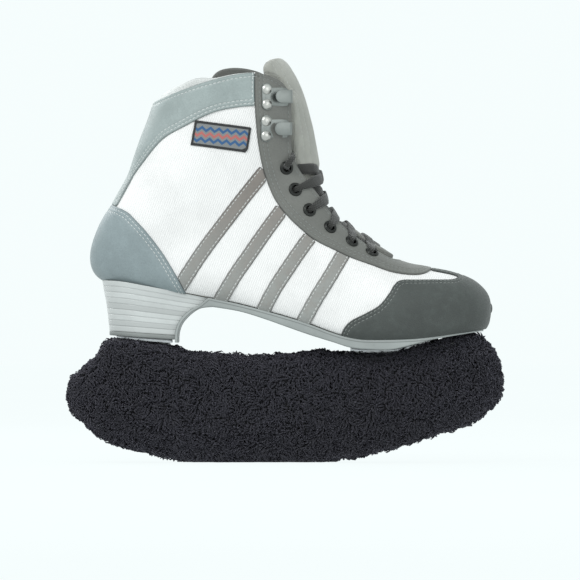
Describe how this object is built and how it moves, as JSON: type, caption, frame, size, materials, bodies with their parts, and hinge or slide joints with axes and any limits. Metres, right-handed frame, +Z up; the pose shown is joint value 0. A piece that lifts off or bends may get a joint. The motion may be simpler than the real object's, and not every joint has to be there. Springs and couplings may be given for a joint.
{
  "type": "ice skate",
  "caption": "Lace-up ankle-height ice skate for the right foot, with a stacked heel and a plush cover pulled over its blade.",
  "frame": {"origin": "on the surface the cover rests on, below the middle of the cover", "axes": "+X towards the toe along the blade, +Y towards the inner side of the right foot, +Z up"},
  "size_m": [0.2889, 0.0933, 0.268],
  "materials": {
    "white_textile": "matt ribbed white textile",
    "toe_leather": "matt dark grey-green embossed leather",
    "counter_leather": "matt grey-blue leather",
    "collar_leather": "matt grey-teal leather",
    "facing_leather": "matt mid grey leather",
    "band_suede": "matt taupe-grey suede",
    "woven_label": "woven damask",
    "lining_fabric": "brushed knit",
    "stiffener_board": "pressed fibre board",
    "tongue_fabric": "padded matt textile",
    "footbed_fabric": "brushed knit over foam",
    "steel": "satin plated",
    "blade_steel": "ground and polished",
    "sole_rubber": "satin moulded",
    "heel_layers": "satin layered",
    "lift_rubber": "matt moulded",
    "gunmetal": "satin gunmetal",
    "hook_nickel": "bright nickel",
    "lace_cord": "flat braided cord",
    "aglet_plastic": "gloss film",
    "plush": "deep nubby pile",
    "cover_fabric": "plain woven",
    "elastic": "braided round elastic"
  },
  "bodies": {
    "boot": {"quarter_lateral": "white_textile", "quarter_medial": "white_textile", "vamp": "white_textile", "toe_cap": "toe_leather", "heel_counter": "counter_leather", "collar_band": "collar_leather", "eyestay_lateral": "facing_leather", "eyestay_medial": "facing_leather", "side_band_lateral_1": "band_suede", "side_band_lateral_2": "band_suede", "side_band_lateral_3": "band_suede", "side_band_lateral_4": "band_suede", "side_band_medial_1": "band_suede", "side_band_medial_2": "band_suede", "side_band_medial_3": "band_suede", "side_band_medial_4": "band_suede", "label_patch": "woven_label", "lining": "lining_fabric", "toe_puff": "stiffener_board", "counter_stiffener": "stiffener_board", "tongue_base": "tongue_fabric", "insole_board": "stiffener_board", "footbed": "footbed_fabric", "shank": "steel", "outsole": "sole_rubber", "heel_block": "heel_layers", "heel_lift": "lift_rubber", "eyelets_lateral": "gunmetal", "eyelets_medial": "gunmetal", "hook_lateral_upper": "hook_nickel", "hook_lateral_lower": "hook_nickel", "hook_medial_upper": "hook_nickel", "hook_medial_lower": "hook_nickel", "hook_rivets": "hook_nickel", "lace": "lace_cord", "lace_end_lateral": "lace_cord", "lace_end_medial": "lace_cord", "aglet_lateral": "aglet_plastic", "aglet_medial": "aglet_plastic", "blade": "blade_steel", "front_stanchion": "steel", "rear_stanchion": "steel", "sole_plate": "steel", "heel_plate": "steel", "sole_screws": "hook_nickel", "heel_screws": "hook_nickel"},
    "tongue": {"tongue_flap": "tongue_fabric"},
    "cover": {"cover_shell": "plush", "cover_lining": "cover_fabric", "cover_elastic": "elastic"}
  },
  "joints": [
    {"name": "tongue_fold", "type": "hinge", "parent": "boot", "child": "tongue", "pos_m": [0.0233, 0, 0.2], "axis": [0, 1, 0], "range_deg": [0, 50], "stiffness_Nm_per_rad": 0.05},
    {"name": "cover_pull", "type": "slide", "parent": "boot", "child": "cover", "axis": [0, 0, -1], "range_m": [0, 0.085]}
  ]
}
